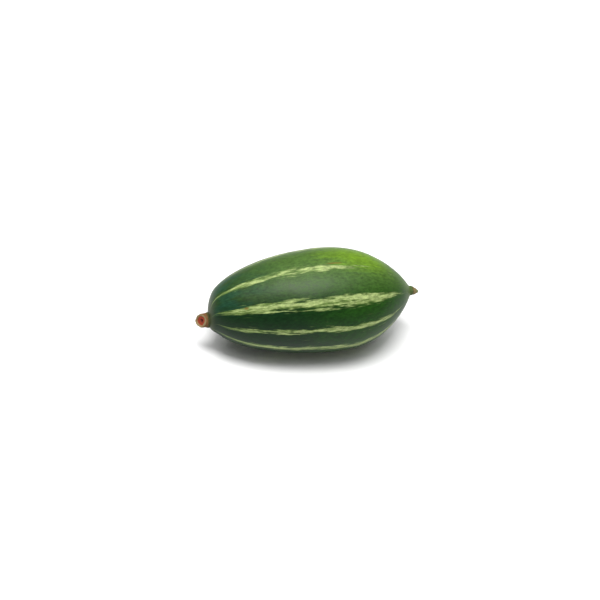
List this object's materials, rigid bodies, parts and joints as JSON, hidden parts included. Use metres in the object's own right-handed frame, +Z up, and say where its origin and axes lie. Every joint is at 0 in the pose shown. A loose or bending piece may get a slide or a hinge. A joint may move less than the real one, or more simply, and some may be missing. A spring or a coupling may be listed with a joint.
{
  "type": "pointed gourd",
  "caption": "Striped green pointed gourd lying on its belly, blunt at the cut stalk and pointed at the blossom end.",
  "frame": {"origin": "on the surface that the gourd rests on, under the centre of its outline seen from above", "axes": "+X along the gourd, from its stalk end to its blossom end; +Z up as it lies on its belly; +Y to its side, away from the one that the stalk stub turns to"},
  "size_m": [0.0828, 0.0392, 0.0378],
  "materials": {
    "rind": "waxy green rind with ragged pale green stripes from end to end, satin sheen",
    "cut_stalk": "dried, corky and matt, with a sunken red-brown cut face in a pale rim",
    "dried_flower": "dried, papery and matt, tan brown with a grey-green tip"
  },
  "bodies": {
    "root": {"fruit": "rind", "stalk_stub": "cut_stalk", "flower_remnant": "dried_flower"}
  },
  "joints": []
}
